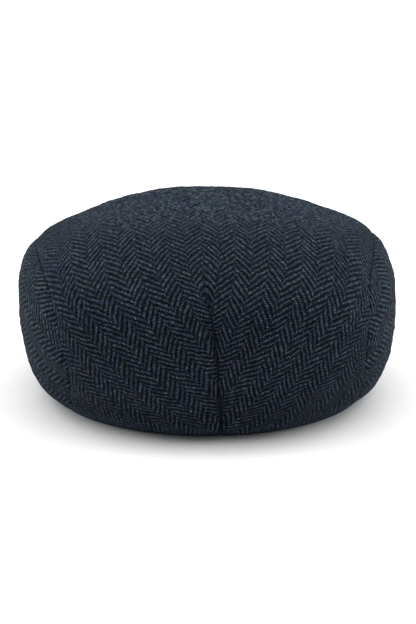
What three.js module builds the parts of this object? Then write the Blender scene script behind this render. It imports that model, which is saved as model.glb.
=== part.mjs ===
// A flat cap: a one-piece crown with a dart down the back, a panel at each side and a stiff peak.
// Millimetres, +Z up. The peak points to -Y, and +X is the wearer's left.
import * as THREE from 'three';

const { clamp, degToRad, lerp, radToDeg, smoothstep } = THREE.MathUtils;

// Head opening
const rimWidth = 184;
const rimLength = 202;
const rimShapePower = 1.95;

// Cloth
const clothThickness = 2.2;
const hemThickness = 3;
const hemHeight = 14;
const seamGap = 0.6;

// Crown
const crownHeight = 120;
const sideOverhang = 17.6;
const backOverhang = 36;
const frontOverhang = 3;
const crownBackPower = 2.5;
const crownFrontPower = 2;
const crestBehindMiddle = 4.5;
const frontFall = 75;
const backFall = 8;
const sideFall = 12.5;
const tuckAngle = 11;
const backLean = 17;

// Peak
const peakReach = 50;
const peakShow = 20;
const peakInset = 4;
const peakShapePower = 2.9;
const peakTuck = 4;
const peakThickness = 5;
const peakTipAngle = 112;
const peakGap = 0.35;
const peakRearRise = 16;
const peakFrontRise = 9;

// Creases: how deep and how wide each valley in the cloth is
const seamDepth = 1.3;
const seamValleyWidth = 4.5;
const dartDepth = 2.6;
const dartValleyWidth = 4.5;
const dartDipDepth = 1.6;
const dartDipWidth = 15;
const puckerDepth = 1.6;
const puckerWidth = 9;

// The crown's section by side. Widest is the height of its widest line as a share of the crown's
// height, fullness is how fast the plan draws in above that line, and roundness how fast it rises.
const sections = {
  back: { widest: 0.576, fullness: 0.97, roundness: 0.89 },
  left: { widest: 0.555, fullness: 1.04, roundness: 0.71 },
  front: { widest: 0.25, fullness: 0.85, roundness: 0.9 },
  right: { widest: 0.481, fullness: 0.9, roundness: 0.656 },
};

// The part of the way from the lower edge to the top at which the cloth is widest
const widestShare = 0.4;

// Where the side seams run. Turn is the angle from the centre back in degrees, and way the share of
// the way from the lower edge to the top.
const leftSeam = [
  { turn: 42.5, way: 0 },
  { turn: 47.5, way: 0.09 },
  { turn: 52, way: 0.18 },
  { turn: 55, way: 0.28 },
  { turn: 57.8, way: 0.35 },
  { turn: 59.5, way: 0.43 },
  { turn: 61.7, way: 0.5 },
  { turn: 67, way: 0.575 },
  { turn: 77.5, way: 0.63 },
  { turn: 89, way: 0.635 },
  { turn: 101, way: 0.61 },
  { turn: 113, way: 0.54 },
  { turn: 123, way: 0.43 },
  { turn: 131, way: 0.29 },
  { turn: 137, way: 0.135 },
  { turn: 141, way: 0 },
];
const rightSeam = [
  { turn: -55.5, way: 0 },
  { turn: -59, way: 0.09 },
  { turn: -61.5, way: 0.19 },
  { turn: -62.8, way: 0.3 },
  { turn: -63.6, way: 0.4 },
  { turn: -64.8, way: 0.52 },
  { turn: -68.5, way: 0.605 },
  { turn: -79.5, way: 0.68 },
  { turn: -91, way: 0.695 },
  { turn: -103, way: 0.66 },
  { turn: -114, way: 0.57 },
  { turn: -123, way: 0.44 },
  { turn: -131, way: 0.29 },
  { turn: -137, way: 0.135 },
  { turn: -141, way: 0 },
];

// The dart down the centre back and the soft pucker beside it. Deep is a share of the valley's depth.
const dart = [
  { turn: -3, way: 0, deep: 0.35 },
  { turn: -3.8, way: 0.13, deep: 0.9 },
  { turn: -3.2, way: 0.29, deep: 1 },
  { turn: -2.2, way: 0.38, deep: 1 },
  { turn: -0.8, way: 0.48, deep: 0.8 },
  { turn: 0.5, way: 0.58, deep: 0.45 },
  { turn: 2, way: 0.66, deep: 0 },
];
const pucker = [
  { turn: -7, way: 0.1, deep: 0 },
  { turn: -7, way: 0.15, deep: 0.6 },
  { turn: -12, way: 0.28, deep: 1 },
  { turn: -20, way: 0.39, deep: 0.5 },
  { turn: -24, way: 0.44, deep: 0 },
];

// How finely the cloth is divided
const crownRows = 14;
const sideRows = 7;
const seamSteps = 22;
const frontSteps = 14;
const broadStepAngle = 4.6;
const fineStepAngle = 1.5;
const peakColumns = 34;
const peakRows = 4;
const peakNoseSteps = 3;

const halfRimWidth = rimWidth / 2;
const halfRimLength = rimLength / 2;
const peakCover = (peakReach - peakShow) / peakReach;
const crownBack = halfRimLength + backOverhang;
const crownFront = halfRimLength + peakReach - peakShow + frontOverhang;
const crownSide = halfRimWidth + sideOverhang;
const peakFront = halfRimLength + peakReach;

// Plan of the head opening, the crown and the peak

function ovalPoint(turn, side, back, front, squareness) {
  const across = Math.sin(turn);
  const along = Math.cos(turn);
  const power = 2 / squareness;
  const length = along > 0 ? back : front;
  return new THREE.Vector2(
    side * Math.sign(across) * Math.abs(across) ** power,
    length * Math.sign(along) * Math.abs(along) ** power,
  );
}

function degreesFromBack(turn) {
  return Math.abs(radToDeg(Math.atan2(Math.sin(turn), Math.cos(turn))));
}

function rimPoint(turn) {
  return ovalPoint(turn, halfRimWidth, halfRimLength, halfRimLength, rimShapePower);
}

function peakEdgePoint(turn) {
  const outline = ovalPoint(turn, halfRimWidth - peakInset, peakFront, peakFront, peakShapePower);
  const blend = smoothstep(degreesFromBack(turn), peakTipAngle, peakTipAngle + 18);
  return rimPoint(turn).lerp(outline, blend);
}

// The underside of the peak arches over its middle and dips to the surface it stands on at its sides.
function peakUnderside(x, y) {
  const across = clamp(Math.abs(x) / (halfRimWidth - peakInset), 0, 1);
  const ahead = clamp((-y / halfRimLength - 0.3) / (peakFront / halfRimLength - 0.3), 0, 1);
  return (1 - across * across) ** 1.5 * lerp(peakRearRise, peakFrontRise, ahead);
}

// The lower edge of the cloth: flat round the back, and lifted over the peak at the front.
function lowerEdgeHeight(turn, x, y) {
  const lift = smoothstep(degreesFromBack(turn), peakTipAngle - 18, peakTipAngle - 2);
  return lift * (peakUnderside(x, y) + peakThickness + peakGap);
}

function lowerEdgePlan(turn) {
  return rimPoint(turn).lerp(peakEdgePoint(turn), peakCover);
}

// The outer surface of the cloth. Round the back its lines lean backwards as they rise, as the side
// seams do.

function leanAt(turn) {
  return Math.cos(turn) > 0 ? degToRad(backLean) * Math.sin(2 * turn) : 0;
}

function sectionValue(turn, column) {
  const along = Math.cos(turn);
  const side = Math.sin(turn) > 0 ? sections.left[column] : sections.right[column];
  const end = along > 0 ? sections.back[column] : sections.front[column];
  return lerp(side, end, along * along);
}

function roofHeight(x, y) {
  const ahead = clamp((crestBehindMiddle - y) / (crestBehindMiddle + crownFront), 0, 1);
  const behind = clamp((y - crestBehindMiddle) / (crownBack - crestBehindMiddle), 0, 1);
  const fall = frontFall * ahead ** 2 + backFall * behind ** 2 + sideFall * (x / crownSide) ** 2;
  return crownHeight - fall;
}

function surfacePoint(turn, way) {
  const lean = leanAt(turn);
  const edge = lowerEdgePlan(turn + lean);
  const edgeHeight = lowerEdgeHeight(turn + lean, edge.x, edge.y);
  const upper = turn - lean;
  const squareness = Math.cos(upper) > 0 ? crownBackPower : crownFrontPower;
  const widest = ovalPoint(upper, crownSide, crownBack, crownFront, squareness);
  const widestHeight = crownHeight * sectionValue(upper, 'widest');
  if (way < widestShare) {
    const start = degToRad(tuckAngle);
    const swing = lerp(start, Math.PI / 2, Math.max(way, 0) / widestShare);
    const out = (Math.sin(swing) - Math.sin(start)) / (1 - Math.sin(start));
    const up = (Math.cos(start) - Math.cos(swing)) / Math.cos(start);
    const plan = edge.lerp(widest, out);
    return new THREE.Vector3(plan.x, plan.y, lerp(edgeHeight, widestHeight, up));
  }
  const roundness = sectionValue(upper, 'roundness');
  const above = (way - widestShare) / (1 - widestShare);
  const swing = Math.PI / 2 * clamp(above, 0, 1) ** (1 / roundness);
  const fullness = lerp(sectionValue(upper, 'fullness'), 1, smoothstep(above, 0.5, 1));
  const drawn = Math.max(Math.cos(swing), 0) ** fullness;
  const middle = crestBehindMiddle / 2;
  const x = widest.x * drawn;
  const y = middle + (widest.y - middle) * drawn;
  const rise = Math.sin(swing) ** roundness;
  return new THREE.Vector3(x, y, lerp(widestHeight, roofHeight(x, y), rise));
}

function surfaceSlopes(turn, way) {
  const step = 1e-3;
  const low = clamp(way - step, 0, 0.995 - 2 * step);
  const high = low + 2 * step;
  const around = surfacePoint(turn + step, Math.min(way, 0.995));
  around.sub(surfacePoint(turn - step, Math.min(way, 0.995))).divideScalar(2 * step);
  const upward = surfacePoint(turn, high).sub(surfacePoint(turn, low)).divideScalar(high - low);
  return { around, upward };
}

// Valleys in the cloth

function curveThrough(table) {
  const points = table.map((row) => new THREE.Vector3(row.turn, row.way * 100, (row.deep ?? 1) * 10));
  return new THREE.CatmullRomCurve3(points, false, 'centripetal');
}

function placeOnCurve(curve, share) {
  const point = curve.getPoint(share);
  return { turn: degToRad(point.x), way: clamp(point.y / 100, 0, 1), deep: clamp(point.z / 10, 0, 1) };
}

function makeValley(curve, depth, width) {
  const stops = [];
  for (let step = 0; step <= 90; step += 1) {
    const place = placeOnCurve(curve, step / 90);
    stops.push({ point: surfacePoint(place.turn, place.way), deep: place.deep });
  }
  return { stops, depth, width };
}

const leftSeamCurve = curveThrough(leftSeam);
const rightSeamCurve = curveThrough(rightSeam);
const dartCurve = curveThrough(dart);
const valleys = [
  makeValley(leftSeamCurve, seamDepth, seamValleyWidth),
  makeValley(rightSeamCurve, seamDepth, seamValleyWidth),
  makeValley(dartCurve, dartDepth, dartValleyWidth),
  makeValley(dartCurve, dartDipDepth, dartDipWidth),
  makeValley(curveThrough(pucker), puckerDepth, puckerWidth),
];

function valleyDepth(point) {
  let total = 0;
  for (const valley of valleys) {
    let nearest = Infinity;
    let deep = 0;
    for (const stop of valley.stops) {
      const distance = stop.point.distanceToSquared(point);
      if (distance < nearest) {
        nearest = distance;
        deep = stop.deep;
      }
    }
    total += valley.depth * deep * Math.exp(-nearest / valley.width ** 2);
  }
  return total;
}

// The two faces of the cloth. At its lower edge the cloth is folded to a thicker hem with a flat
// underside, so the inner face starts level with the outer one there.
function clothFaces(turn, way) {
  if (way >= 1) {
    const top = surfacePoint(0, 1);
    return { outer: top, inner: top.clone().setZ(top.z - clothThickness) };
  }
  const point = surfacePoint(turn, way);
  const { around, upward } = surfaceSlopes(turn, way);
  const normal = upward.clone().cross(around).normalize();
  const level = new THREE.Vector3(normal.x, normal.y, 0).normalize();
  const lean = leanAt(turn);
  const edge = lowerEdgePlan(turn + lean);
  const edgeHeight = lowerEdgeHeight(turn + lean, edge.x, edge.y);
  const aboveHem = smoothstep(point.z - edgeHeight, 0, hemHeight);
  const direction = level.lerp(normal, aboveHem).normalize();
  const outer = point.addScaledVector(direction, -valleyDepth(point));
  const inner = outer.clone().addScaledVector(direction, -lerp(hemThickness, clothThickness, aboveHem));
  for (const face of [outer, inner]) {
    face.z += (lowerEdgeHeight(turn + lean, face.x, face.y) - edgeHeight) * (1 - aboveHem);
  }
  return { outer, inner };
}

// A place moved along the surface, square to a seam, by half of the seam's gap
function besideSeam(curve, share, distance) {
  const here = placeOnCurve(curve, share);
  const before = placeOnCurve(curve, Math.max(share - 0.01, 0));
  const after = placeOnCurve(curve, Math.min(share + 0.01, 1));
  const along = surfacePoint(after.turn, after.way).sub(surfacePoint(before.turn, before.way));
  const { around, upward } = surfaceSlopes(here.turn, here.way);
  const normal = upward.clone().cross(around).normalize();
  const square = along.cross(normal).normalize().multiplyScalar(distance);
  const aa = around.dot(around);
  const au = around.dot(upward);
  const uu = upward.dot(upward);
  const sa = square.dot(around);
  const su = square.dot(upward);
  const scale = aa * uu - au * au;
  return {
    turn: here.turn + (sa * uu - su * au) / scale,
    way: here.way + (su * aa - sa * au) / scale,
  };
}

// The line of places beside a seam, with both of its ends slid on to the lower edge
function seamEdge(curve, distance) {
  const places = [];
  for (let step = 0; step <= seamSteps; step += 1) {
    places.push(besideSeam(curve, step / seamSteps, distance));
  }
  const slide = (end, next) => {
    end.turn = lerp(end.turn, next.turn, end.way / (end.way - next.way));
    end.way = 0;
  };
  slide(places[0], places[1]);
  slide(places[seamSteps], places[seamSteps - 1]);
  return places;
}

// A closed cloth solid from columns that each run from one way to another. A column without height
// is a point, and columns that end at the top of the crown meet there.
function makeCloth(columns, rows, goesRound) {
  const positions = [];
  const grid = [];
  let topCorner = null;
  for (const column of columns) {
    const corners = [];
    for (let row = 0; row <= rows; row += 1) {
      const way = lerp(column.from, column.to, row / rows);
      const isPoint = column.to - column.from < 1e-6 && row > 0;
      if (isPoint) {
        corners.push(corners[0]);
        continue;
      }
      if (way >= 1 && topCorner) {
        corners.push(topCorner);
        continue;
      }
      const faces = clothFaces(column.turn, way);
      const pair = { outer: positions.length / 3, inner: positions.length / 3 + 1 };
      positions.push(faces.outer.x, faces.outer.y, faces.outer.z);
      positions.push(faces.inner.x, faces.inner.y, faces.inner.z);
      corners.push(pair);
      if (way >= 1) topCorner = pair;
    }
    grid.push(corners);
  }
  const faces = [];
  const addTriangle = (a, b, c) => {
    if (a !== b && b !== c && a !== c) faces.push(a, b, c);
  };
  const corner = (index) => new THREE.Vector3().fromArray(positions, index * 3);
  const addQuad = (a, b, c, d) => {
    if (corner(a).distanceTo(corner(c)) <= corner(b).distanceTo(corner(d))) {
      addTriangle(a, b, c);
      addTriangle(a, c, d);
    } else {
      addTriangle(a, b, d);
      addTriangle(b, c, d);
    }
  };
  const spans = goesRound ? columns.length : columns.length - 1;
  for (let span = 0; span < spans; span += 1) {
    const here = grid[span];
    const next = grid[(span + 1) % columns.length];
    for (let row = 0; row < rows; row += 1) {
      addQuad(here[row].outer, here[row + 1].outer, next[row + 1].outer, next[row].outer);
      addQuad(here[row].inner, next[row].inner, next[row + 1].inner, here[row + 1].inner);
    }
    addQuad(here[0].outer, next[0].outer, next[0].inner, here[0].inner);
    addQuad(here[rows].outer, here[rows].inner, next[rows].inner, next[rows].outer);
  }
  return makeGeometry(positions, faces);
}

function makeGeometry(positions, faces) {
  const geometry = new THREE.BufferGeometry();
  geometry.setAttribute('position', new THREE.Float32BufferAttribute(positions, 3));
  geometry.setIndex(faces);
  geometry.computeVertexNormals();
  return geometry;
}

function crownColumns() {
  const columns = [];
  const leftEdge = seamEdge(leftSeamCurve, seamGap / 2);
  const rightEdge = seamEdge(rightSeamCurve, -seamGap / 2).reverse();
  const addEdge = (places) => {
    for (const place of places) columns.push({ turn: place.turn, from: place.way, to: 1 });
  };
  const rightStart = rightEdge[seamSteps].turn;
  const leftStart = leftEdge[0].turn;
  const dartTurn = degToRad(dart[2].turn);
  const stops = [];
  let turn = rightStart;
  while (turn < leftStart) {
    stops.push(turn);
    const fromDart = radToDeg(Math.abs(turn - dartTurn));
    turn += degToRad(lerp(fineStepAngle, broadStepAngle, smoothstep(fromDart, 6, 20)));
  }
  const stretch = (leftStart - rightStart) / (turn - rightStart);
  for (const stop of stops.slice(1)) {
    columns.push({ turn: rightStart + (stop - rightStart) * stretch, from: 0, to: 1 });
  }
  addEdge(leftEdge);
  const leftEnd = leftEdge[seamSteps].turn;
  const rightEnd = rightEdge[0].turn + 2 * Math.PI;
  for (let step = 1; step < frontSteps; step += 1) {
    columns.push({ turn: lerp(leftEnd, rightEnd, step / frontSteps), from: 0, to: 1 });
  }
  addEdge(rightEdge);
  return columns;
}

function sidePanelColumns(curve, side) {
  const places = seamEdge(curve, -side * seamGap / 2);
  const columns = places.map((place) => ({ turn: place.turn, from: 0, to: place.way }));
  return side > 0 ? columns : columns.reverse();
}

// The peak: a stiff crescent under the front of the crown, with a rounded front edge
function makePeak() {
  const positions = [];
  const grid = [];
  const noseRadius = peakThickness / 2;
  for (let column = 0; column <= peakColumns; column += 1) {
    const turn = degToRad(lerp(peakTipAngle, 360 - peakTipAngle, column / peakColumns));
    const rim = rimPoint(turn);
    const edge = peakEdgePoint(turn);
    const outward = new THREE.Vector2(rim.x * rimLength ** 2, rim.y * rimWidth ** 2).normalize();
    const rear = rim.clone().addScaledVector(outward, -peakTuck);
    const forward = edge.clone().sub(rear).normalize();
    const nose = edge.clone().addScaledVector(forward, -noseRadius);
    const loop = [];
    const addPoint = (plan, height) => {
      loop.push(positions.length / 3);
      positions.push(plan.x, plan.y, height);
    };
    for (let row = 0; row <= peakRows; row += 1) {
      const plan = rear.clone().lerp(nose, row / peakRows);
      addPoint(plan, peakUnderside(plan.x, plan.y) + peakThickness);
    }
    for (let step = 1; step <= peakNoseSteps; step += 1) {
      const angle = Math.PI * step / (peakNoseSteps + 1);
      const plan = nose.clone().addScaledVector(forward, noseRadius * Math.sin(angle));
      addPoint(plan, peakUnderside(nose.x, nose.y) + noseRadius * (1 + Math.cos(angle)));
    }
    for (let row = peakRows; row >= 0; row -= 1) {
      const plan = rear.clone().lerp(nose, row / peakRows);
      addPoint(plan, peakUnderside(plan.x, plan.y));
    }
    grid.push(loop);
  }
  const faces = [];
  const around = grid[0].length;
  for (let column = 0; column < peakColumns; column += 1) {
    for (let spot = 0; spot < around; spot += 1) {
      const nextSpot = (spot + 1) % around;
      const here = grid[column];
      const next = grid[column + 1];
      faces.push(here[spot], next[nextSpot], here[nextSpot]);
      faces.push(here[spot], next[spot], next[nextSpot]);
    }
  }
  const first = grid[0];
  const last = grid[peakColumns];
  for (let spot = 1; spot < around - 1; spot += 1) {
    faces.push(first[0], first[spot], first[spot + 1]);
    faces.push(last[0], last[spot + 1], last[spot]);
  }
  return makeGeometry(positions, faces);
}

function addPiece(group, name, geometry, color) {
  const material = new THREE.MeshStandardMaterial({ color, roughness: 0.95, metalness: 0 });
  const mesh = new THREE.Mesh(geometry, material);
  mesh.name = name;
  group.add(mesh);
  return mesh;
}

const cap = new THREE.Group();
addPiece(cap, 'crown', makeCloth(crownColumns(), crownRows, true), 0x2a313b);
addPiece(cap, 'side_panel_left', makeCloth(sidePanelColumns(leftSeamCurve, 1), sideRows, false), 0x2c333d);
addPiece(cap, 'side_panel_right', makeCloth(sidePanelColumns(rightSeamCurve, -1), sideRows, false), 0x2c333d);
addPiece(cap, 'peak', makePeak(), 0x272d37);

// The cap stands with the middle of its underside at the origin.
const bounds = new THREE.Box3().setFromObject(cap);
cap.position.set(-(bounds.min.x + bounds.max.x) / 2, -(bounds.min.y + bounds.max.y) / 2, -bounds.min.z);
cap.updateMatrixWorld(true);

export default cap;
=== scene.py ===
"""A flat cap in herringbone wool, standing on a pale floor and seen from behind."""
import math
import bpy
import numpy as np
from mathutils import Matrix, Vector


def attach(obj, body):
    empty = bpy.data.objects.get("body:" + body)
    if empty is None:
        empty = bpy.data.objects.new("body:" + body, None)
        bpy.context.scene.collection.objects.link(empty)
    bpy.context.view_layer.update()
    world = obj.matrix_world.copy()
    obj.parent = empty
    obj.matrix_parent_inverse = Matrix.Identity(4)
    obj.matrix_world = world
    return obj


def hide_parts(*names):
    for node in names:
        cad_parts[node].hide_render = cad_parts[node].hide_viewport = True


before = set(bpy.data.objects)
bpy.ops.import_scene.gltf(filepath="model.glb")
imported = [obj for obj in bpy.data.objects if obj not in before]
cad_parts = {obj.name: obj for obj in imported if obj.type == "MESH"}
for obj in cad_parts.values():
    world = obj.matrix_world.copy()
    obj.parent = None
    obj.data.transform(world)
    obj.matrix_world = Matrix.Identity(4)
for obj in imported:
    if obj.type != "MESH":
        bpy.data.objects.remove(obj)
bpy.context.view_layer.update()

# Sizes of the cap as in the part's source: lengths in millimetres, angles in degrees
rim_width = 184.0
rim_length = 202.0
rim_shape_power = 1.95
cloth_thickness = 2.2
hem_thickness = 3.0
hem_height = 14.0
crown_height = 120.0
side_overhang = 17.6
back_overhang = 36.0
front_overhang = 3.0
crown_back_power = 2.5
crown_front_power = 2.0
crest_behind_middle = 4.5
front_fall = 75.0
back_fall = 8.0
side_fall = 12.5
tuck_angle = 11.0
back_lean = 17.0
peak_reach = 50.0
peak_show = 20.0
peak_inset = 4.0
peak_shape_power = 2.9
peak_tuck = 4.0
peak_thickness = 5.0
peak_tip_angle = 112.0
peak_tip_blend = 18.0
peak_gap = 0.35
peak_rear_rise = 16.0
peak_front_rise = 9.0
peak_rear_share = 0.3
peak_bow_power = 1.5
widest_share = 0.4

# From the middle of the head opening to the middle of the object's underside
shift_to_row = np.array([0.034, 7.447, 0.0])

sections = {
    "back": {"widest": 0.576, "fullness": 0.97, "roundness": 0.89},
    "left": {"widest": 0.555, "fullness": 1.04, "roundness": 0.71},
    "front": {"widest": 0.25, "fullness": 0.85, "roundness": 0.9},
    "right": {"widest": 0.481, "fullness": 0.9, "roundness": 0.656},
}

# Turn in degrees from the centre back, and way from the lower edge to the top
left_seam = [
    (42.5, 0), (47.5, 0.09), (52, 0.18), (55, 0.28), (57.8, 0.35), (59.5, 0.43), (61.7, 0.5), (67, 0.575),
    (77.5, 0.63), (89, 0.635), (101, 0.61), (113, 0.54), (123, 0.43), (131, 0.29), (137, 0.135), (141, 0),
]
right_seam = [
    (-55.5, 0), (-59, 0.09), (-61.5, 0.19), (-62.8, 0.3), (-63.6, 0.4), (-64.8, 0.52), (-68.5, 0.605),
    (-79.5, 0.68), (-91, 0.695), (-103, 0.66), (-114, 0.57), (-123, 0.44), (-131, 0.29), (-137, 0.135),
    (-141, 0),
]

# Turn, way and how deep the valley is as a share of its depth
dart = [
    (-3, 0, 0.35), (-3.8, 0.13, 0.9), (-3.2, 0.29, 1), (-2.2, 0.38, 1), (-0.8, 0.48, 0.8),
    (0.5, 0.58, 0.45), (2, 0.66, 0),
]
pucker = [
    (-7, 0.1, 0), (-7, 0.15, 0.6), (-12, 0.28, 1), (-20, 0.39, 0.5), (-24, 0.44, 0),
]

# Depth and width of the creases, in millimetres
seam_valley = (0.5, 5.0)
dart_crease = (3.6, 1.5)
dart_dip = (1.8, 15.0)
pucker_valley = (1.6, 9.0)

# Swells of the worn cloth: the length and height of a wave, in millimetres, and its direction
swells = [
    (43.0, 0.3, (0.8, 0.5, 0.33)), (31.0, 0.24, (-0.62, 0.3, 0.72)), (23.0, 0.16, (0.34, -0.5, 0.8)),
    (12.1, 0.09, (0.83, 0.42, -0.36)), (9.7, 0.08, (-0.4, 0.78, 0.47)), (7.9, 0.06, (0.2, -0.52, 0.83)),
    (4.3, 0.09, (0.69, -0.61, 0.4)), (3.7, 0.09, (-0.5, -0.45, 0.74)), (3.1, 0.08, (0.11, 0.78, 0.61)),
]

# The right shoulder is fuller: how far it stands out, its middle and its reach, in millimetres
shoulder = (2.9, (-93.0, -22.0, 94.0), (17.0, 45.0, 17.0))

# The cloth's edges: the strip beside an edge that gets its own fine rows, and the radius at a seam
edge_strip = 5.0
seam_roll = 0.65
seam_opening = 0.42

# The cloth's weave, in millimetres
end_spacing = 0.95
pick_spacing = 1.13
ends_per_wale = 9

# The share of a seam by which the strip's inner line is drawn in at its ends
crown_corner = 0.006
panel_corner = 0.03

# The columns near the back follow the dart this many degrees to each side, and fade between these ways
dart_follow_angle = 34
dart_follow_fade = (0.66, 0.95)

# How finely the cloth is divided
seam_steps = 190
front_steps = 70
hem_steps = 96
hem_crowding = 1.35
crown_rows = 92
panel_rows = 40
inner_every = 4
corner_rounds = 6
valley_stops = 160
dart_stops = 120
seam_stops = 200
peak_columns = 150
peak_rows = 22
peak_nose_steps = 12

half_width = rim_width / 2
half_length = rim_length / 2
peak_cover = (peak_reach - peak_show) / peak_reach
crown_back = half_length + back_overhang
crown_front = half_length + peak_reach - peak_show + front_overhang
crown_side = half_width + side_overhang
peak_front = half_length + peak_reach


def mix(a, b, share):
    return a + (b - a) * share


def smooth(value, low=0.0, high=1.0):
    share = np.clip((value - low) / (high - low), 0, 1)
    return share * share * (3 - 2 * share)


def unit(vectors):
    return vectors / np.maximum(np.linalg.norm(vectors, axis=-1, keepdims=True), 1e-9)


def dot(a, b):
    return np.sum(a * b, axis=-1)


# Plan of the head opening, the crown and the peak

def oval_point(turn, side, back, front, squareness):
    across = np.sin(turn)
    along = np.cos(turn)
    power = 2 / squareness
    length = np.where(along > 0, back, front)
    x = side * np.sign(across) * np.abs(across) ** power
    y = length * np.sign(along) * np.abs(along) ** power
    return np.stack([x, y], -1)


def degrees_from_back(turn):
    return np.abs(np.degrees(np.arctan2(np.sin(turn), np.cos(turn))))


def rim_point(turn):
    return oval_point(turn, half_width, half_length, half_length, rim_shape_power)


def peak_edge_point(turn):
    outline = oval_point(turn, half_width - peak_inset, peak_front, peak_front, peak_shape_power)
    blend = smooth(degrees_from_back(turn), peak_tip_angle, peak_tip_angle + peak_tip_blend)
    return mix(rim_point(turn), outline, blend[..., None])


def peak_underside(x, y):
    across = np.clip(np.abs(x) / (half_width - peak_inset), 0, 1)
    reach = peak_front / half_length - peak_rear_share
    ahead = np.clip((-y / half_length - peak_rear_share) / reach, 0, 1)
    return (1 - across * across) ** peak_bow_power * mix(peak_rear_rise, peak_front_rise, ahead)


def lower_edge_height(turn, x, y):
    lift = smooth(degrees_from_back(turn), peak_tip_angle - peak_tip_blend, peak_tip_angle - 2)
    return lift * (peak_underside(x, y) + peak_thickness + peak_gap)


def lower_edge_plan(turn):
    return mix(rim_point(turn), peak_edge_point(turn), peak_cover)


# The outer surface of the cloth

def lean_at(turn):
    return np.where(np.cos(turn) > 0, math.radians(back_lean) * np.sin(2 * turn), 0.0)


def section_value(turn, column):
    along = np.cos(turn)
    side = np.where(np.sin(turn) > 0, sections["left"][column], sections["right"][column])
    end = np.where(along > 0, sections["back"][column], sections["front"][column])
    return mix(side, end, along * along)


def roof_height(x, y):
    ahead = np.clip((crest_behind_middle - y) / (crest_behind_middle + crown_front), 0, 1)
    behind = np.clip((y - crest_behind_middle) / (crown_back - crest_behind_middle), 0, 1)
    aside = x / crown_side
    return crown_height - front_fall * ahead ** 2 - back_fall * behind ** 2 - side_fall * aside ** 2


def surface_point(turn, way):
    turn, way = np.broadcast_arrays(np.asarray(turn, float), np.asarray(way, float))
    lean = lean_at(turn)
    edge = lower_edge_plan(turn + lean)
    edge_height = lower_edge_height(turn + lean, edge[..., 0], edge[..., 1])
    upper = turn - lean
    squareness = np.where(np.cos(upper) > 0, crown_back_power, crown_front_power)
    widest = oval_point(upper, crown_side, crown_back, crown_front, squareness)
    widest_height = crown_height * section_value(upper, "widest")
    start = math.radians(tuck_angle)
    swing = mix(start, math.pi / 2, np.clip(way, 0, widest_share) / widest_share)
    out = (np.sin(swing) - math.sin(start)) / (1 - math.sin(start))
    up = (math.cos(start) - np.cos(swing)) / math.cos(start)
    plan = mix(edge, widest, out[..., None])
    low = np.concatenate([plan, mix(edge_height, widest_height, up)[..., None]], -1)
    roundness = section_value(upper, "roundness")
    above = np.clip((way - widest_share) / (1 - widest_share), 0, 1)
    swing = math.pi / 2 * above ** (1 / roundness)
    fullness = mix(section_value(upper, "fullness"), 1, smooth(above, 0.5, 1))
    drawn = np.maximum(np.cos(swing), 0) ** fullness
    middle = crest_behind_middle / 2
    x = widest[..., 0] * drawn
    y = middle + (widest[..., 1] - middle) * drawn
    z = mix(widest_height, roof_height(x, y), np.sin(swing) ** roundness)
    return np.where((way < widest_share)[..., None], low, np.stack([x, y, z], -1))


def surface_slopes(turn, way):
    step = 1e-3
    low = np.clip(way - step, 0, 0.995 - 2 * step)
    high = low + 2 * step
    capped = np.minimum(way, 0.995)
    around = (surface_point(turn + step, capped) - surface_point(turn - step, capped)) / (2 * step)
    upward = (surface_point(turn, high) - surface_point(turn, low)) / (high - low)[..., None]
    return around, upward


def surface_normal(turn, way):
    around, upward = surface_slopes(turn, way)
    return unit(np.cross(upward, around))


# Curves on the surface

def curve_through(rows, shares):
    """A smooth curve through rows of turn, way and depth, at shares of its rows."""
    points = []
    for row in rows:
        points.append((row[0], row[1] * 100, (row[2] if len(row) > 2 else 1) * 10))
    points = np.array(points, float)
    points = np.vstack([2 * points[0] - points[1], points, 2 * points[-1] - points[-2]])
    spot = np.clip(np.asarray(shares, float), 0, 1) * (len(rows) - 1)
    index = np.minimum(spot.astype(int), len(rows) - 2)
    share = (spot - index)[..., None]
    p0, p1, p2, p3 = (points[index + step] for step in range(4))
    d0 = np.sum((p1 - p0) ** 2, -1, keepdims=True) ** 0.25
    d1 = np.sum((p2 - p1) ** 2, -1, keepdims=True) ** 0.25
    d2 = np.sum((p3 - p2) ** 2, -1, keepdims=True) ** 0.25
    t1 = ((p1 - p0) / d0 - (p2 - p0) / (d0 + d1) + (p2 - p1) / d1) * d1
    t2 = ((p2 - p1) / d1 - (p3 - p1) / (d1 + d2) + (p3 - p2) / d2) * d1
    c2 = -3 * p1 + 3 * p2 - 2 * t1 - t2
    c3 = 2 * p1 - 2 * p2 + t1 + t2
    place = p1 + t1 * share + c2 * share ** 2 + c3 * share ** 3
    turn = np.radians(place[..., 0])
    way = np.clip(place[..., 1] / 100, 0, 1)
    deep = np.clip(place[..., 2] / 10, 0, 1)
    return turn, way, deep


def distance_to_curve(points, rows):
    """Distance of each point to the curve, and the curve's depth there."""
    turn, way, deep = curve_through(rows, np.linspace(0, 1, valley_stops))
    stops = surface_point(turn, way)
    flat = points.reshape(-1, 3)
    near = np.full(len(flat), np.inf)
    depth = np.zeros(len(flat))
    for first in range(len(stops) - 1):
        start = stops[first]
        leg = stops[first + 1] - start
        share = np.clip((flat - start) @ leg / (leg @ leg), 0, 1)
        gap = np.linalg.norm(flat - start - share[:, None] * leg, axis=1)
        closer = gap < near
        near = np.where(closer, gap, near)
        depth = np.where(closer, mix(deep[first], deep[first + 1], share), depth)
    return near.reshape(points.shape[:-1]), depth.reshape(points.shape[:-1])


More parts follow.
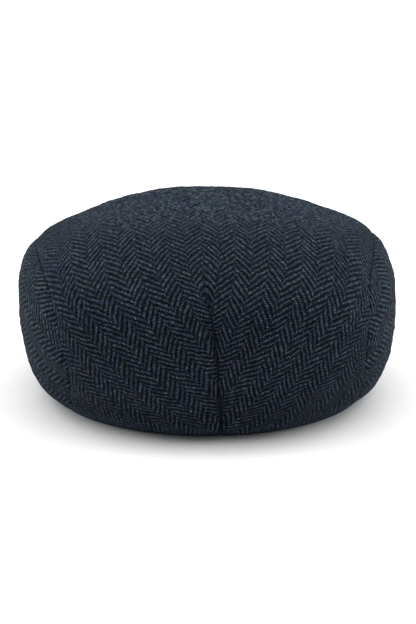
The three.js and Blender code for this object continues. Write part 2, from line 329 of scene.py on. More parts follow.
def valley_depth(points):
    total = np.zeros(points.shape[:-1])
    for rows in (left_seam, right_seam):
        near, deep = distance_to_curve(points, rows)
        total += seam_valley[0] * np.exp(-(near / seam_valley[1]) ** 2)
    near, deep = distance_to_curve(points, dart)
    total += dart_crease[0] * deep * np.exp(-(near / dart_crease[1]) ** 1.15)
    total += dart_dip[0] * deep * np.exp(-(near / dart_dip[1]) ** 2)
    near, deep = distance_to_curve(points, pucker)
    total += pucker_valley[0] * deep * np.exp(-(near / pucker_valley[1]) ** 2)
    return total


def unevenness(points):
    """Soft swells and small lumps of worn wool, in millimetres outward."""
    total = np.zeros(points.shape[:-1])
    for length, height, (x, y, z) in swells:
        total += height * np.sin((points @ np.array([x, y, z])) * 2 * math.pi / length + length)
    fuller, middle, reach = shoulder
    away = (points - np.array(middle)) / np.array(reach)
    return total + fuller * np.exp(-dot(away, away))


def cloth_point(turn, way, depth):
    """A point of the cloth, a depth below its outer face. Near the lower edge depth runs level."""
    point = surface_point(turn, way)
    normal = surface_normal(turn, way)
    level = unit(normal * np.array([1.0, 1.0, 0.0]))
    lean = lean_at(turn)
    edge = lower_edge_plan(turn + lean)
    edge_height = lower_edge_height(turn + lean, edge[..., 0], edge[..., 1])
    above_hem = smooth(point[..., 2] - edge_height, 0, hem_height)
    direction = unit(mix(level, normal, above_hem[..., None]))
    moved = point - direction * (valley_depth(point) + depth - unevenness(point) * above_hem)[..., None]
    lift = lower_edge_height(turn + lean, moved[..., 0], moved[..., 1]) - edge_height
    moved[..., 2] += lift * (1 - above_hem)
    return moved, above_hem


def beside_seam(rows, shares, distance):
    """Places moved along the surface, square to a seam."""
    turn, way, deep = curve_through(rows, shares)
    before = curve_through(rows, np.maximum(shares - 0.01, 0))
    after = curve_through(rows, np.minimum(shares + 0.01, 1))
    along = surface_point(after[0], after[1]) - surface_point(before[0], before[1])
    around, upward = surface_slopes(turn, way)
    normal = unit(np.cross(upward, around))
    square = unit(np.cross(along, normal)) * distance
    aa, au, uu = dot(around, around), dot(around, upward), dot(upward, upward)
    sa, su = dot(square, around), dot(square, upward)
    scale = aa * uu - au * au
    return turn + (sa * uu - su * au) / scale, way + (su * aa - sa * au) / scale


# The outline of a piece of cloth: the edge, and a line of places a strip's width inside it

def seam_edge(rows, distance):
    shares = np.linspace(0, 1, seam_steps + 1)
    turn, way = beside_seam(rows, shares, distance)
    for end, near in ((0, 1), (-1, -2)):
        share = way[end] / (way[end] - way[near])
        turn[end] = mix(turn[end], turn[near], share)
        way[end] = 0
    return turn, np.maximum(way, 0)


def seam_inside(rows, distance, corner):
    """The line beside a seam, drawn in at both ends so that it clears the corners by the same strip."""
    shares = np.linspace(0, 1, seam_steps + 1)
    from_start = corner * (1 - smooth(shares, 0, 0.2))
    from_end = corner * (1 - smooth(shares, 0.8, 1))
    turn, way = beside_seam(rows, shares + from_start - from_end, distance)
    return turn, np.maximum(way, way_above_hem(turn, edge_strip))


def way_above_hem(turn, distance):
    """The way that lies a distance above the lower edge."""
    upward = surface_point(turn, np.full_like(turn, 0.02)) - surface_point(turn, np.zeros_like(turn))
    return 0.02 * distance / np.linalg.norm(upward, axis=-1)


def dart_turn_at(way):
    turn, along, deep = curve_through(dart, np.linspace(0, 1, dart_stops))
    return np.interp(way, along, turn)


dart_start = float(dart_turn_at(0.0))


def follow_dart(turn, way):
    """Columns near the centre back shifted so that one of them runs along the dart."""
    from_back = np.degrees(np.abs((turn - dart_start + math.pi) % (2 * math.pi) - math.pi))
    nearby = 1 - smooth(from_back, 0, dart_follow_angle)
    fade = 1 - smooth(way, *dart_follow_fade)
    return turn + (dart_turn_at(way) - dart_start) * nearby * fade


def crown_outline():
    """Edge and inside places of the crown, from the dart round by the left, the front and the right."""
    left_edge = seam_edge(left_seam, seam_opening / 2)
    right_edge = seam_edge(right_seam, -seam_opening / 2)
    left_in = seam_inside(left_seam, seam_opening / 2 + edge_strip, crown_corner)
    right_in = seam_inside(right_seam, -seam_opening / 2 - edge_strip, crown_corner)
    full = 2 * math.pi
    spread = np.linspace(0, 1, hem_steps + 1) ** hem_crowding
    parts = []

    def hem_part(start, end, start_in, end_in, shares):
        edge_turn = mix(start, end, shares)
        in_turn = mix(start_in[0], end_in[0], shares)
        in_way = way_above_hem(edge_turn, edge_strip)
        near_start = 1 - smooth(shares, 0, 0.15)
        near_end = smooth(shares, 0.85, 1)
        in_way = mix(in_way, start_in[1], near_start) if start_in[1] else in_way
        in_way = mix(in_way, end_in[1], near_end) if end_in[1] else in_way
        parts.append((edge_turn, np.zeros_like(edge_turn), in_turn, in_way, np.zeros_like(edge_turn)))

    hem_part(dart_start, left_edge[0][0], (dart_start, 0), (left_in[0][0], left_in[1][0]), spread[:-1])
    parts.append((*left_edge, *left_in, np.ones(seam_steps + 1)))
    front = np.linspace(0, 1, front_steps + 1)[1:-1]
    hem_part(left_edge[0][-1], right_edge[0][-1] + full, (left_in[0][-1], left_in[1][-1]),
             (right_in[0][-1] + full, right_in[1][-1]), front)
    turned = [values[::-1] for values in (*right_edge, *right_in)]
    parts.append((turned[0] + full, turned[1], turned[2] + full, turned[3], np.ones(seam_steps + 1)))
    back = (1 - spread[::-1])[1:-1]
    hem_part(right_edge[0][0] + full, dart_start + full, (right_in[0][0] + full, right_in[1][0]),
             (dart_start + full, 0), back)
    return [np.concatenate([part[column] for part in parts]) for column in range(5)]


def panel_outline(rows, side):
    """Edge and inside places of a side panel: up and over along the seam, and back along the hem."""
    edge = seam_edge(rows, -side * seam_opening / 2)
    inside = seam_inside(rows, -side * (seam_opening / 2 + edge_strip), panel_corner)
    shares = np.linspace(0, 1, hem_steps + 1)[1:-1]
    hem_turn = mix(edge[0][-1], edge[0][0], shares)
    in_turn = mix(inside[0][-1], inside[0][0], shares)
    in_way = way_above_hem(in_turn, edge_strip)
    ones = np.ones(seam_steps + 1)
    zeros = np.zeros_like(hem_turn)
    parts = [(*edge, *inside, ones), (hem_turn, zeros, in_turn, in_way, zeros)]
    return [np.concatenate([part[column] for part in parts]) for column in range(5)]


# The fine rows over an edge: distance from the edge and depth below the outer face. A hem is folded
# round, and a seam edge rolls in and down to the inner face.

def edge_profiles():
    hem_radius = hem_thickness / 2
    hem = [(edge_strip, 0), (3.8, 0), (2.8, 0), (2.1, 0)]
    seam = [(edge_strip, 0), (3.7, 0), (2.6, 0), (1.8, 0)]
    for step in range(5):
        angle = math.pi / 2 * step / 4
        hem.append((hem_radius * (1 - math.sin(angle)), hem_radius * (1 - math.cos(angle))))
        seam.append((seam_roll * (1 - math.sin(angle)), seam_roll * (1 - math.cos(angle))))
    for step in range(1, 5):
        angle = math.pi / 2 * step / 4
        hem.append((hem_radius * (1 - math.cos(angle)), hem_radius * (1 + math.sin(angle))))
        seam.append((0, mix(seam_roll, cloth_thickness, step / 4)))
    hem.append((edge_strip, hem_thickness))
    seam.append((edge_strip, cloth_thickness))
    return np.array(hem), np.array(seam)


def make_cloth(name, outline, target, rows, by_dart):
    """A piece of cloth as rows of points: over its edge from inside to outside, then to its middle, which
    is target, or the top of the crown. by_dart lets the columns near the back follow the dart."""
    edge_turn, edge_way, in_turn, in_way, is_seam = outline
    hem, seam = edge_profiles()
    # The change from hem to seam is spread over a few columns at each corner.
    weight = is_seam.copy()
    for repeat in range(corner_rounds):
        weight = (np.roll(weight, 1) + weight * 2 + np.roll(weight, -1)) / 4
    columns = len(edge_turn)
    target_turn = in_turn if target is None else np.full(columns, target[0])
    target_way = np.full(columns, 1.0 if target is None else target[1])

    def strip_row(spot):
        distance = mix(hem[spot, 0], seam[spot, 0], weight) / edge_strip
        depth = mix(hem[spot, 1], seam[spot, 1], weight)
        return mix(edge_turn, in_turn, distance), mix(edge_way, in_way, distance), depth

    def middle_row(share):
        return mix(in_turn, target_turn, share), mix(in_way, target_way, share)

    turns, ways, depths, inner = [], [], [], []
    for row in range(rows - inner_every, 0, -inner_every):
        turn, way = middle_row(row / rows)
        turns.append(turn)
        ways.append(way)
        depths.append(np.full(columns, cloth_thickness))
        inner.append(True)
    for spot in range(len(hem) - 1, -1, -1):
        turn, way, depth = strip_row(spot)
        turns.append(turn)
        ways.append(way)
        depths.append(depth)
        inner.append(spot == len(hem) - 1)
    for row in range(1, rows):
        turn, way = middle_row(row / rows)
        turns.append(turn)
        ways.append(way)
        depths.append(np.zeros(columns))
        inner.append(False)
    turns, ways, depths = np.array(turns), np.array(ways), np.array(depths)
    flat_turns, flat_ways = turns, ways
    if by_dart:
        turns = follow_dart(turns, ways)
    points, above_hem = cloth_point(turns, ways, depths)
    # The inner face lies deeper behind the folded hem.
    inner = np.array(inner)
    deeper = mix(hem_thickness, cloth_thickness, above_hem) * inner[:, None]
    again, above_hem = cloth_point(turns, ways, np.where(inner[:, None], deeper, depths))
    points = np.where(inner[:, None, None], again, points)
    middle_turn = target_turn[0] if target is not None else 0.0
    ends = cloth_point(np.full(2, middle_turn), np.full(2, target_way[0] - 1e-6),
                       np.array([cloth_thickness, 0.0]))[0]
    if target is None:
        top = surface_point(0.0, 1.0)
        top = top + np.array([0, 0, 1]) * unevenness(top)
        ends = np.array([top - np.array([0, 0, cloth_thickness]), top])
    return {"name": name, "points": points, "ends": ends, "turns": flat_turns, "ways": flat_ways,
            "target": (target_turn, target_way)}


# The lie of the cloth: each place gets a place on the flat cloth, across and along the wales, in
# millimetres. The wales follow a direction on the surface as nearly as uneven cloth can.

# Columns and rows of the grids that are laid flat, and the turns and the way that a panel's grid spans
crown_grid = (97, 33)
panel_grid = (49, 33)
panel_turns = (34.0, 150.0)
panel_top = 0.8

# The shortest step that counts in full, and the weight of places past a seam by more than a margin
shortest_step = 0.3
outside_weight = 0.02
outside_margin = 0.04


def carried(start_normal, normal, direction):
    """A direction carried from one normal to another without a twist."""
    total = start_normal + normal
    share = dot(total, direction) / (1 + dot(start_normal, normal))
    return direction - share[..., None] * total + 2 * dot(start_normal, direction)[..., None] * normal


def turned(direction, normal, angle):
    side = np.cross(normal, direction)
    return direction * np.cos(angle)[..., None] + side * np.sin(angle)[..., None]


def lay_flat(points, along, normal, weights, joined, ease_along=1.0, ease_across=1.0):
    """Least squares: every step over the grid moves as far across and along as it does on the surface."""
    columns, rows = points.shape[:2]
    across = np.cross(along, normal) / (np.ones((columns, rows)) * ease_across)[..., None]
    along = along / (np.ones((columns, rows)) * ease_along)[..., None]
    index = np.arange(columns * rows).reshape(columns, rows)
    for target, source in joined:
        index[source] = index[target]
    used, index = np.unique(index, return_inverse=True)
    index = index.reshape(columns, rows)
    count = len(used)
    matrix = np.zeros((count, count))
    wanted = np.zeros((count, 2))
    around_step = np.linalg.norm(np.diff(points, axis=0), axis=-1)
    upward_step = np.linalg.norm(np.diff(points, axis=1), axis=-1)

    def add(first, second, step, ratio, weight, mid_across, mid_along):
        i, j = index[first].ravel(), index[second].ravel()
        share = (ratio * weight).ravel()
        goal = np.stack([dot(step, mid_across).ravel(), dot(step, mid_along).ravel()], -1)
        np.add.at(matrix, (i, i), share)
        np.add.at(matrix, (j, j), share)
        np.add.at(matrix, (i, j), -share)
        np.add.at(matrix, (j, i), -share)
        np.add.at(wanted, i, -goal * share[:, None])
        np.add.at(wanted, j, goal * share[:, None])

    def middle(values, axis):
        low = np.take(values, range(values.shape[axis] - 1), axis)
        high = np.take(values, range(1, values.shape[axis]), axis)
        return (low + high) / 2

    whole = slice(None)
    wide = np.pad(upward_step, ((0, 0), (1, 1)), mode="edge")
    wide = (wide[:, 1:] + wide[:, :-1]) / 2
    ratio = middle(wide, 0) / np.maximum(around_step, shortest_step)
    add((slice(None, -1), whole), (slice(1, None), whole), np.diff(points, axis=0), ratio,
        middle(weights, 0), middle(across, 0), middle(along, 0))
    tall = np.pad(around_step, ((1, 1), (0, 0)), mode="edge")
    tall = (tall[1:] + tall[:-1]) / 2
    ratio = middle(tall, 1) / np.maximum(upward_step, shortest_step)
    add((whole, slice(None, -1)), (whole, slice(1, None)), np.diff(points, axis=1), ratio,
        middle(weights, 1), middle(across, 1), middle(along, 1))
    matrix[np.arange(count), np.arange(count)] += 1e-7
    return np.linalg.solve(matrix, wanted)[index]


def read_grid(values, column, row):
    """Smooth reading of a grid of values between its corners."""
    def weights(share):
        return (((-0.5 * share + 1) * share - 0.5) * share,
                (1.5 * share - 2.5) * share * share + 1,
                ((-1.5 * share + 2) * share + 0.5) * share,
                (0.5 * share - 0.5) * share * share)

    padded = np.pad(values, ((1, 1), (1, 1), (0, 0)), mode="edge")
    for axis in (0, 1):
        ends = np.moveaxis(padded, axis, 0)
        ends[0] = 2 * ends[1] - ends[2]
        ends[-1] = 2 * ends[-2] - ends[-3]
    column = np.clip(column, 0, values.shape[0] - 1)
    row = np.clip(row, 0, values.shape[1] - 1)
    first = np.minimum(column.astype(int), values.shape[0] - 2)
    second = np.minimum(row.astype(int), values.shape[1] - 2)
    across = weights(column - first)
    upward = weights(row - second)
    total = 0
    for i in range(4):
        for j in range(4):
            total = total + padded[first + i, second + j] * (across[i] * upward[j])[..., None]
    return total


# How far the wales turn towards the dart, in degrees, by way and by the angle round from the dart
pull_angles = (0, 20, 40, 60, 90)
left_pull = [
    (0, (20, 14, -16, -36, -36)), (0.2, (29, 21, -3, -21, -21)), (0.29, (37, 31, 10, -8, -10)),
    (0.37, (35, 27, 12, -2, -5)), (0.48, (35, 31, 22, 4, 0)), (0.58, (23, 19, 11, 5, 2)),
    (0.7, (8, 12, 8, 2, 0)), (0.8, (2, 3, 2, 0, 0)), (1, (0, 0, 0, 0, 0)),
]
right_pull = [
    (0, (12, -12, -34, -48, -48)), (0.2, (24, -3, -27, -42, -42)), (0.29, (25, 18, -6, -36, -36)),
    (0.37, (20, 17, 4, -9, -12)), (0.48, (14, 15, 12, 4, 0)), (0.58, (7, 8, 8, 3, 0)),
    (0.7, (2, 1, -2, -6, -6)), (0.8, (0, 0, 0, 0, 0)), (1, (0, 0, 0, 0, 0)),
]

# How far the wales of the side panels fall towards the back, in degrees
panel_tilt = 33

# How far the cloth of the side panels is drawn out along and across its wales
panel_ease = (0.78, 1.3)

# How much further the crown's cloth is drawn out across its wales at its lower outer corners
corner_ease = 0.4

# How far the cloth is drawn out along and across its wales, by way. It is eased in towards the hem.
cloth_ease = [
    (0, 1.05, 0.95), (0.08, 0.93, 0.93), (0.2, 0.8, 0.9), (0.42, 0.76, 0.85), (0.5, 0.86, 0.93),
    (0.58, 1.02, 1.0), (0.7, 1.18, 1.05), (0.85, 1.15, 1.05), (1, 1.08, 1.05),
]


def pull_at(table, way, from_dart):
    ways = [row[0] for row in table]
    by_angle = []
    for column in range(len(pull_angles)):
        by_angle.append(np.interp(way, ways, [row[1][column] for row in table]))
    values = np.zeros(np.broadcast(way, from_dart).shape)
    for column in range(len(pull_angles) - 1):
        low, high = pull_angles[column], pull_angles[column + 1]
        inside = (from_dart >= low) & (from_dart < high)
        share = np.clip((from_dart - low) / (high - low), 0, 1)
        values = np.where(inside, mix(by_angle[column], by_angle[column + 1], share), values)
    fade = 1 - smooth(from_dart, 90, 130)
    return np.where(from_dart >= pull_angles[-1], by_angle[-1] * fade, values)


def crown_lie():
    columns, rows = crown_grid
    base = np.linspace(dart_start, dart_start + 2 * math.pi, columns)
    way = np.linspace(0, 1, rows)
    turn = follow_dart(base[:, None] + 0 * way, way + 0 * base[:, None])
    ways = way + 0 * turn
    points = surface_point(turn, ways)
    normal = surface_normal(turn, ways)
    normal[:, -1] = (0, 0, 1)
    up = np.zeros_like(normal)
    up[..., 2] = 1
    ahead = np.zeros_like(normal)
    ahead[..., 1] = 1
    along = carried(up, normal, ahead)
    from_dart = np.degrees(base - dart_start)[:, None] + 0 * ways
    left = pull_at(left_pull, ways, from_dart)
    right = pull_at(right_pull, ways, 360 - from_dart)
    along = turned(along, normal, np.radians(np.where(from_dart < 180, left, -right)))
    ease = np.array(cloth_ease)
    ease_along = np.interp(ways, ease[:, 0], ease[:, 1])
    ease_across = np.interp(ways, ease[:, 0], ease[:, 2])
    outer = smooth(np.minimum(from_dart, 360 - from_dart), 22, 52) * (1 - smooth(ways, 0.25, 0.5))
    ease_across = ease_across * (1 + corner_ease * outer)
    weights = np.ones((columns, rows))
    for rows_of_seam in (left_seam, right_seam):
        seam_turn, seam_way, deep = curve_through(rows_of_seam, np.linspace(0, 1, seam_stops))
        order = np.argsort(seam_turn)
        side_turn = (turn[:, 0] + math.pi) % (2 * math.pi) - math.pi
        seam_height = np.interp(side_turn, seam_turn[order], seam_way[order], left=0, right=0)
        weights[ways < seam_height[:, None] - outside_margin] = outside_weight
    tip = int(np.searchsorted(way, dart[-1][1]))
    joined = [((0, slice(tip, None)), (-1, slice(tip, None))), ((0, -1), (slice(None), -1))]
    flat = lay_flat(points, along, normal, weights, joined, ease_along, ease_across)
    flat = flat - flat[0, -1]

    def read(turns, ways):
        spot = (turns - dart_start) / (2 * math.pi) * (columns - 1)
        return read_grid(flat, spot, ways * (rows - 1))

    return read


def panel_lie(rows_of_seam, side, tilt):
    columns, rows = panel_grid
    low, high = sorted(side * turn for turn in panel_turns)
    base = np.radians(np.linspace(low, high, columns))
    way = np.linspace(0, panel_top, rows)
    turn = base[:, None] + 0 * way
    ways = way + 0 * turn
    points = surface_point(turn, ways)
    normal = surface_normal(turn, ways)
    middle = np.zeros_like(normal)
    middle[..., 0] = side
    back = np.zeros_like(normal)
    back[..., 1] = math.cos(tilt)
    back[..., 2] = -math.sin(tilt)
    along = carried(middle, normal, back)
    seam_turn, seam_way, deep = curve_through(rows_of_seam, np.linspace(0, 1, seam_stops))
    order = np.argsort(seam_turn)
    height = np.interp(base, seam_turn[order], seam_way[order], left=0, right=0)
    weights = np.where(ways > height[:, None] + outside_margin, outside_weight, 1.0)
    flat = lay_flat(points, along, normal, weights, [], *panel_ease)
    low, high = base[0], base[-1]

    def read(turns, ways):
        spot = (turns - low) / (high - low) * (columns - 1)
        return read_grid(flat, spot, ways / panel_top * (rows - 1))

    return read


# Meshes

def add_object(name, points, faces, cloth_places, material):
    mesh = bpy.data.meshes.new(name)
    metres = (np.asarray(points) + shift_to_row) * 0.001
    mesh.from_pydata(metres.tolist(), [], faces)
    layer = mesh.uv_layers.new(name="Cloth")
    layer.uv.foreach_set("vector", np.asarray(cloth_places, np.float32).ravel())
    mesh.shade_smooth()
    mesh.materials.append(material)
    item = bpy.data.objects.new(name, mesh)
    bpy.context.collection.objects.link(item)
    return item


def add_cloth(piece, lie, material, closed_turn, flip):
    """Joins the rows of a piece of cloth. closed_turn is the turn that its last column ends on."""
    points = piece["points"]
    rows, columns = points.shape[:2]
    corners = [tuple(point) for point in points.reshape(-1, 3)]
    corners += [tuple(point) for point in piece["ends"]]
    turns = np.concatenate([piece["turns"], piece["turns"][:, :1] + closed_turn], 1)
    ways = np.concatenate([piece["ways"], piece["ways"][:, :1]], 1)
    places = lie(turns, ways)
    end_turns = np.concatenate([piece["target"][0], piece["target"][0][:1] + closed_turn])
    end_ways = np.concatenate([piece["target"][1], piece["target"][1][:1]])
    end_places = lie(end_turns, end_ways)
    faces = []
    cloth_places = []

    def add_face(spots, spot_places):
        if flip:
            spots = spots[::-1]
            spot_places = spot_places[::-1]
        faces.append(spots)
        cloth_places.extend(spot_places)

    for row in range(rows - 1):
        for column in range(columns):
            after = (column + 1) % columns
            spots = [row * columns + column, row * columns + after,
                     (row + 1) * columns + after, (row + 1) * columns + column]
            spot_places = [places[row, column], places[row, column + 1],
                           places[row + 1, column + 1], places[row + 1, column]]
            add_face(spots, spot_places)
    inside_end = rows * columns
    outside_end = inside_end + 1
    for column in range(columns):
        after = (column + 1) % columns
        add_face([inside_end, after, column],
                 [end_places[column], places[0, column + 1], places[0, column]])
        base = (rows - 1) * columns
        add_face([base + column, base + after, outside_end],
                 [places[-1, column], places[-1, column + 1], end_places[column]])
    return add_object(piece["name"], corners, faces, cloth_places, material)


# Herringbone wool

class Nodes:
    """Short calls for building a material from nodes."""

    def __init__(self, material):
        material.use_nodes = True
        self.tree = material.node_tree
        self.tree.nodes.clear()

    def add(self, kind, **settings):
        node = self.tree.nodes.new(kind)
        for name, value in settings.items():
            setattr(node, name, value)
        return node

    def join(self, source, target):
        if isinstance(source, (int, float, tuple)):
            target.default_value = source
        else:
            self.tree.links.new(source, target)

    def math(self, operation, first, second=0.0, third=0.0):
        node = self.add("ShaderNodeMath", operation=operation)
        self.join(first, node.inputs[0])
        self.join(second, node.inputs[1])
        if operation in ("MULTIPLY_ADD", "COMPARE"):
            self.join(third, node.inputs[2])
        return node.outputs[0]

    def times(self, first, second):
        return self.math("MULTIPLY", first, second)

    def rounded(self, value, power):
        return self.math("POWER", self.math("MAXIMUM", value, 0.0), power)

    def mix(self, share, first, second):
        node = self.add("ShaderNodeMix", data_type="FLOAT")
        self.join(share, node.inputs[0])
        self.join(first, node.inputs[2])
        self.join(second, node.inputs[3])
        return node.outputs[0]

    def mix_colour(self, share, first, second):
        node = self.add("ShaderNodeMix", data_type="RGBA")
        self.join(share, node.inputs[0])
        self.join(first, node.inputs[6])
        self.join(second, node.inputs[7])
        return node.outputs[2]

    def product(self, first, second):
        node = self.add("ShaderNodeVectorMath", operation="MULTIPLY")
        self.join(first, node.inputs[0])
        self.join(second, node.inputs[1])
        return node.outputs[0]

    def vector(self, x, y, z=0.0):
        node = self.add("ShaderNodeCombineXYZ")
        self.join(x, node.inputs[0])
        self.join(y, node.inputs[1])
        self.join(z, node.inputs[2])
        return node.outputs[0]

    def scaled(self, vector, scale):
        node = self.add("ShaderNodeVectorMath", operation="SCALE")
        self.join(vector, node.inputs[0])
        self.join(scale, node.inputs["Scale"])
        return node.outputs[0]

    def rise(self, value, low, high):
        node = self.add("ShaderNodeMapRange", interpolation_type="SMOOTHSTEP")
        self.join(value, node.inputs[0])
        node.inputs[1].default_value = low
        node.inputs[2].default_value = high
        return node.outputs[0]

    def noise(self, vector, scale, detail=2.0, roughness=0.5):
        node = self.add("ShaderNodeTexNoise")
        self.join(vector, node.inputs["Vector"])
        node.inputs["Scale"].default_value = scale
        node.inputs["Detail"].default_value = detail
        node.inputs["Roughness"].default_value = roughness
        return node.outputs[0]

    def wander(self, value, place, scale, detail, amount):
        away = self.math("SUBTRACT", self.noise(place, scale, detail), 0.5)
        return self.math("MULTIPLY_ADD", away, amount, value)

    def ramp(self, value, stops):
        """Each stop is a place and its red, green and blue."""
        node = self.add("ShaderNodeValToRGB")
        ramp = node.color_ramp
        while len(ramp.elements) < len(stops):
            ramp.elements.new(0.5)
        for element, (place, *colour) in zip(ramp.elements, stops):
            element.position = place
            element.color = (*colour, 1)
        self.join(value, node.inputs[0])
        return node.outputs[0]


def grey(place, value):
    return (place, value, value, value)


# The wool is brushed up to a nap at the top, and its colour there is painted lighter as a painted sheen:
# between these heights, in millimetres, higher up at the sides by a bow, and with this share over the
# weave
nap_and_sheen_heights = (106.0, 118.0)
nap_and_sheen_bow = 0.0015
nap_and_sheen_most = 0.5

# Painted light: the cloth's colour is lighter by this factor up to the first height above the floor, and
# less up to the second, to make up for the shade the floor casts on the lower edge
painted_hem_light_heights = (1.0, 14.0)
painted_hem_light = 2.1

# How strong the light and dark yarns stand out in the side panels against the crown: painted highlight
# and shade, lighter light yarns and darker dark yarns standing in for the brighter highlights on the
# panels
panel_painted_contrast = 1.25


def herringbone(name, contrast=1.0):
    material = bpy.data.materials.new(name)
    nodes = Nodes(material)
    cloth = nodes.add("ShaderNodeUVMap", uv_map="Cloth")
    split = nodes.add("ShaderNodeSeparateXYZ")
    nodes.join(cloth.outputs[0], split.inputs[0])
    across, along = split.outputs[0], split.outputs[1]

    # Yarns drift from their straight lines in long waves, and wander in short ones.
    across = nodes.wander(across, cloth.outputs[0], 0.16, 1.0, 1.6)
    across = nodes.wander(across, cloth.outputs[0], 0.9, 2.0, 0.8)
    crossed = nodes.vector(along, across)
    along = nodes.wander(along, crossed, 0.14, 1.0, 1.6)
    along = nodes.wander(along, crossed, 0.8, 2.0, 0.95)

    ends = nodes.math("ADD", nodes.math("DIVIDE", across, end_spacing), 1800.0 + ends_per_wale / 2)
    picks = nodes.math("ADD", nodes.math("DIVIDE", along, pick_spacing), 1600.0)
    end = nodes.math("FLOOR", ends)
    pick = nodes.math("FLOOR", picks)
    in_end = nodes.math("FRACT", ends)
    in_pick = nodes.math("FRACT", picks)

    # Places on the cap in millimetres, and how far the wool is brushed up and painted with a lighter
    # sheen, which is most at the top
    place = nodes.scaled(nodes.add("ShaderNodeTexCoord").outputs["Object"], 1000.0)
    apart = nodes.add("ShaderNodeSeparateXYZ")
    nodes.join(place, apart.inputs[0])
    bowed = nodes.times(nodes.times(apart.outputs[0], apart.outputs[0]), nap_and_sheen_bow)
    nap_and_sheen_mask = nodes.rise(nodes.math("ADD", apart.outputs[2], bowed), *nap_and_sheen_heights)
    combed = nodes.vector(apart.outputs[0], nodes.times(apart.outputs[1], 0.38), apart.outputs[2])

    # The twill steps one way in one wale and the other way in the next.
    wale = nodes.math("FLOOR", nodes.math("DIVIDE", end, float(ends_per_wale)))
    in_wale = nodes.math("SUBTRACT", end, nodes.times(wale, float(ends_per_wale)))
    odd = nodes.math("MODULO", wale, 2.0)
    step = nodes.math("MULTIPLY_ADD", odd, -2.0, 1.0)
    phase = nodes.math("MULTIPLY_ADD", step, in_wale, pick)
    phase = nodes.math("MULTIPLY_ADD", odd, 10.0, phase)
    phase = nodes.math("MODULO", nodes.math("ADD", phase, 4000.0), 4.0)
    weft_up = nodes.math("LESS_THAN", phase, 1.5)

    # Each float is round across and sinks at its ends.
    second = nodes.math("COMPARE", phase, 1.0, 0.3)
    third = nodes.math("COMPARE", phase, 3.0, 0.3)
    weft_start = nodes.mix(odd, second, nodes.math("SUBTRACT", 1.0, second))
    weft_place = nodes.times(nodes.math("ADD", weft_start, in_end), math.pi / 2)
    warp_place = nodes.times(nodes.math("ADD", third, in_pick), math.pi / 2)
    weft_long = nodes.rounded(nodes.math("SINE", weft_place), 0.45)
    warp_long = nodes.rounded(nodes.math("SINE", warp_place), 0.45)
    weft_wide = nodes.rounded(nodes.math("SINE", nodes.times(in_pick, math.pi)), 0.6)
    warp_wide = nodes.rounded(nodes.math("SINE", nodes.times(in_end, math.pi)), 0.6)
    weft_height = nodes.times(weft_long, weft_wide)
    warp_height = nodes.times(warp_long, warp_wide)
    height = nodes.mix(weft_up, nodes.times(warp_height, 0.72), weft_height)

    # Flecks of several colours run along each light yarn.
    fleck_place = nodes.vector(nodes.times(across, 0.33), nodes.times(pick, 5.37), 3.1)
    fleck = nodes.noise(fleck_place, 1.0, 2.0)
    light = nodes.ramp(fleck, [
        (0.22, 0.018, 0.038, 0.072), (0.38, 0.027, 0.045, 0.073), (0.47, 0.036, 0.051, 0.07),
        (0.55, 0.041, 0.053, 0.055), (0.62, 0.036, 0.041, 0.065), (0.7, 0.05, 0.048, 0.038),
        (0.8, 0.078, 0.09, 0.105),
    ])
    bright_place = nodes.vector(nodes.times(across, 0.9), nodes.times(pick, 3.71), 9.4)
    brightness = nodes.mix(nodes.noise(bright_place, 1.0, 2.0), 0.35, 1.25)
    light = nodes.scaled(light, brightness)
    dark_place = nodes.vector(nodes.times(end, 4.13), nodes.times(along, 0.4), 6.2)
    dark = nodes.ramp(nodes.noise(dark_place, 1.0, 2.0), [
        (0.3, 0.002, 0.003, 0.006), (0.55, 0.004, 0.006, 0.011), (0.72, 0.009, 0.012, 0.019),
    ])
    # A contrast above 1 paints highlight and shade into this copy of the wool: light yarns lighter, dark
    # yarns darker
    light = nodes.scaled(light, contrast)
    dark = nodes.scaled(dark, 1 / contrast)
    colour = nodes.mix_colour(weft_up, dark, light)
    chance = nodes.add("ShaderNodeTexWhiteNoise", noise_dimensions="2D")
    nodes.join(nodes.vector(end, pick), chance.inputs["Vector"])
    speck = nodes.ramp(chance.outputs["Value"], [
        grey(0.0, 0.45), grey(0.35, 0.78), grey(0.7, 1.15), grey(0.93, 1.5), grey(1.0, 2.2),
    ])
    tint = nodes.mix_colour(0.16, (0.49, 0.505, 0.52, 1), chance.outputs["Color"])
    tint = nodes.scaled(tint, 2.0)
    colour = nodes.product(nodes.product(colour, speck), tint)
    shade = nodes.mix(nodes.math("POWER", height, 0.7), 0.25, 1.0)
    colour = nodes.scaled(colour, shade)

    # Loose fibres and broad patches of wear over everything, and clumps of nap at the top whose lighter
    # colour is partly a painted sheen
    fibre = nodes.noise(nodes.vector(across, along, 1.7), 3.2, 3.0, 0.65)
    fuzz = nodes.ramp(fibre, [grey(0.5, 0), grey(0.78, 1)])
    patch = nodes.noise(cloth.outputs[0], 0.03, 3.0)
    colour = nodes.mix_colour(nodes.times(fuzz, 0.22), colour, (0.035, 0.045, 0.058, 1))
    worn = nodes.mix(patch, 0.86, 1.14)
    colour = nodes.scaled(colour, worn)
    clump = nodes.noise(combed, 0.5, 4.0, 0.72)
    # Painted sheen: the nap's clumps are lighter than the weave, standing in for the sheen of the top
    # seen at a low angle
    nap_and_painted_sheen = nodes.ramp(clump, [
        (0.36, 0.002, 0.003, 0.006), (0.46, 0.013, 0.018, 0.027), (0.54, 0.028, 0.036, 0.049),
        (0.62, 0.082, 0.099, 0.12),
    ])
    nap_and_painted_sheen = nodes.product(nap_and_painted_sheen, tint)
    nap_and_sheen_share = nodes.times(nap_and_sheen_mask, nap_and_sheen_most)
    # Painted light: the lowest part of the cloth is lighter in colour where the floor shades it
    lift = nodes.mix(nodes.rise(apart.outputs[2], *painted_hem_light_heights), painted_hem_light, 1.0)
    colour = nodes.scaled(colour, lift)
    colour = nodes.mix_colour(nap_and_sheen_share, colour, nap_and_painted_sheen)

